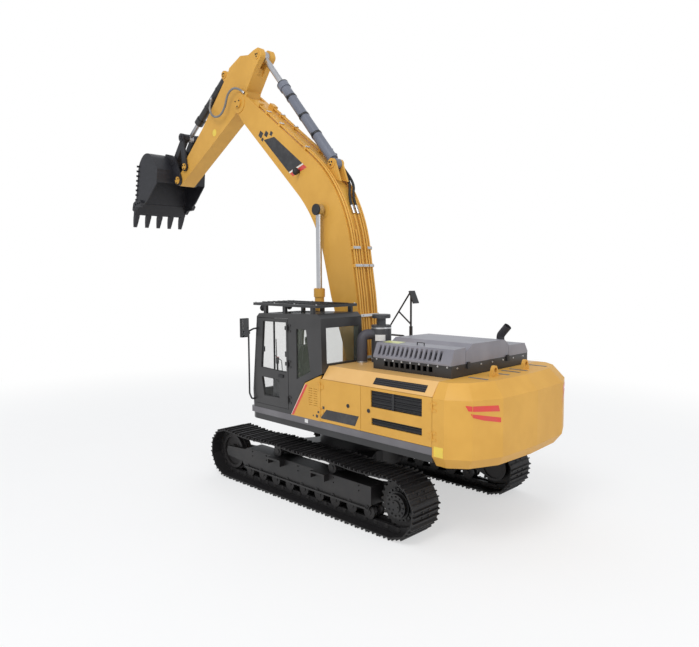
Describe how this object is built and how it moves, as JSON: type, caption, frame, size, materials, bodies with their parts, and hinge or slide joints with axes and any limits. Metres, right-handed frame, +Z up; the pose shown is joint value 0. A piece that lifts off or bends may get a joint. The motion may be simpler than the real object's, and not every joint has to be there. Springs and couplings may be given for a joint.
{
  "type": "crawler excavator",
  "caption": "Large crawler excavator with a swinging house, a hollow cab, doors, a boom, an arm and a backhoe bucket that move with their cylinders.",
  "frame": {"origin": "on the ground under the middle of the parked machine's bounding box", "axes": "X forward (the way the boom points), Y to the operator's left, Z up"},
  "size_m": [10.6212, 3.32, 8.2918],
  "materials": {
    "black_paint": "satin paint",
    "black_plastic": "moulded",
    "black_rubber": "smooth",
    "chrome_rod": "polished",
    "cylinder_grey": "gloss paint",
    "dark_grey_paint": "satin paint",
    "exhaust_steel": "heat dulled",
    "grey_paint": "satin paint",
    "seat_fabric": "woven",
    "track_steel": "dull, lightly worn",
    "window_glass": "tinted",
    "yellow_paint": "gloss paint"
  },
  "bodies": {
    "undercarriage": {"track_left": "track_steel", "track_right": "track_steel", "idlers": "black_paint", "sprockets": "black_paint", "final_drives": "black_paint", "rollers": "black_paint", "track_frames": "black_paint", "car_body": "black_paint", "swing_ring": "black_paint"},
    "upper": {"air_cleaner": "black_plastic", "cab_consoles": "black_plastic", "cab_glass": "window_glass", "cab_shell": "black_paint", "counterweight": "yellow_paint", "engine": "grey_paint", "exhaust_pipe": "exhaust_steel", "fuel_tank": "yellow_paint", "hood_base": "black_paint", "hood_left_cover": "dark_grey_paint", "hood_right_cover": "dark_grey_paint", "house_frame": "black_plastic", "intake_duct": "black_rubber", "left_fixed_cover": "yellow_paint", "left_mirror": "black_plastic", "main_deck": "black_paint", "operator_seat": "seat_fabric", "right_rails": "black_paint", "roof_guard": "black_paint", "side_sills": "grey_paint", "tool_box": "yellow_paint", "top_covers": "yellow_paint"},
    "cab_door": {"cab_door": "black_paint", "door_glass": "window_glass"},
    "left_front_door": {"left_front_door": "yellow_paint"},
    "left_rear_door": {"left_rear_door": "yellow_paint"},
    "right_rear_door": {"right_rear_door": "yellow_paint"},
    "hood_lid": {"hood_lid": "dark_grey_paint"},
    "boom": {"boom": "yellow_paint"},
    "boom_barrels": {"boom_cylinder_barrels": "yellow_paint"},
    "boom_rods": {"boom_cylinder_rods": "chrome_rod"},
    "arm": {"arm": "yellow_paint"},
    "arm_barrel": {"arm_cylinder_barrel": "cylinder_grey"},
    "arm_rod": {"arm_cylinder_rod": "chrome_rod"},
    "bucket_barrel": {"bucket_cylinder_barrel": "black_paint"},
    "bucket_rod": {"bucket_cylinder_rod": "chrome_rod"},
    "rocker": {"bucket_rocker": "black_paint"},
    "link": {"bucket_link": "black_paint"},
    "bucket": {"bucket": "black_paint"}
  },
  "joints": [
    {"name": "swing", "type": "hinge", "parent": "undercarriage", "child": "upper", "pos_m": [-1.87, 0, 1.19], "axis": [0, 0, 1], "continuous": true},
    {"name": "boom_lift", "type": "hinge", "parent": "upper", "child": "boom", "pos_m": [-1.96, 0, 1.95], "axis": [0, -1, 0], "range_deg": [-88, 4]},
    {"name": "boom_cylinder_tilt", "type": "hinge", "parent": "upper", "child": "boom_barrels", "pos_m": [-1.14, 0, 1.46], "axis": [0, -1, 0], "range_deg": [-95.98, 4.84]},
    {"name": "boom_cylinder_stroke", "type": "slide", "parent": "boom_barrels", "child": "boom_rods", "axis": [0.0014, 0, 1], "range_m": [-1.2854, 0.0632]},
    {"name": "arm_fold", "type": "hinge", "parent": "boom", "child": "arm", "pos_m": [1.38, 0, 7.303], "axis": [0, -1, 0], "range_deg": [-55, 44]},
    {"name": "arm_cylinder_tilt", "type": "hinge", "parent": "boom", "child": "arm_barrel", "pos_m": [-1.23, 0, 5.79], "axis": [0, -1, 0], "range_deg": [-6.1, 4.98]},
    {"name": "arm_cylinder_stroke", "type": "slide", "parent": "arm_barrel", "child": "arm_rod", "axis": [0.6561, 0, 0.7547], "range_m": [-0.66224, 0.82655]},
    {"name": "bucket_curl", "type": "hinge", "parent": "arm", "child": "bucket", "pos_m": [3.87, 0, 5.99], "axis": [0, -1, 0], "range_deg": [-130, 28]},
    {"name": "bucket_cylinder_tilt", "type": "hinge", "parent": "arm", "child": "bucket_barrel", "pos_m": [2.095, 0, 8.055], "axis": [0, -1, 0], "range_deg": [-3.13, 1.07]},
    {"name": "bucket_cylinder_stroke", "type": "slide", "parent": "bucket_barrel", "child": "bucket_rod", "axis": [0.8233, 0, -0.5676], "range_m": [-0.23206, 1.05919]},
    {"name": "rocker_swing", "type": "hinge", "parent": "arm", "child": "rocker", "pos_m": [3.575, 0, 6.275], "axis": [0, -1, 0], "range_deg": [-95.79, 21.02]},
    {"name": "link_swing", "type": "hinge", "parent": "bucket", "child": "link", "pos_m": [4.104, 0, 6.463], "axis": [0, -1, 0], "range_deg": [-17.46, 79.22]},
    {"name": "cab_door_hinge", "type": "hinge", "parent": "upper", "child": "cab_door", "pos_m": [-1.588, 1.505, 2.3], "axis": [0, 0, 1], "range_deg": [0, 165]},
    {"name": "left_front_door_hinge", "type": "hinge", "parent": "upper", "child": "left_front_door", "pos_m": [-2.376, 1.502, 1.8], "axis": [0, 0, 1], "range_deg": [-100, 0]},
    {"name": "left_rear_door_hinge", "type": "hinge", "parent": "upper", "child": "left_rear_door", "pos_m": [-4.572, 1.502, 1.8], "axis": [0, 0, 1], "range_deg": [0, 100]},
    {"name": "right_rear_door_hinge", "type": "hinge", "parent": "upper", "child": "right_rear_door", "pos_m": [-4.572, -1.502, 1.8], "axis": [0, 0, 1], "range_deg": [-100, 0]},
    {"name": "hood_lid_hinge", "type": "hinge", "parent": "upper", "child": "hood_lid", "pos_m": [-3.086, 0, 2.527], "axis": [0, 1, 0], "range_deg": [0, 50]}
  ],
  "couplings": [
    {"joint": "boom_cylinder_tilt", "follows": "boom_lift", "ratio": 1.085},
    {"joint": "boom_cylinder_stroke", "follows": "boom_lift", "m_per_rad": 0.83365},
    {"joint": "arm_cylinder_tilt", "follows": "arm_fold", "ratio": 0.10185},
    {"joint": "arm_cylinder_stroke", "follows": "arm_fold", "m_per_rad": -0.85585},
    {"joint": "bucket_cylinder_tilt", "follows": "bucket_curl", "ratio": 0.0202},
    {"joint": "bucket_cylinder_stroke", "follows": "bucket_curl", "m_per_rad": -0.46462},
    {"joint": "rocker_swing", "follows": "bucket_curl", "ratio": 0.733},
    {"joint": "link_swing", "follows": "bucket_curl", "ratio": -0.60556}
  ]
}
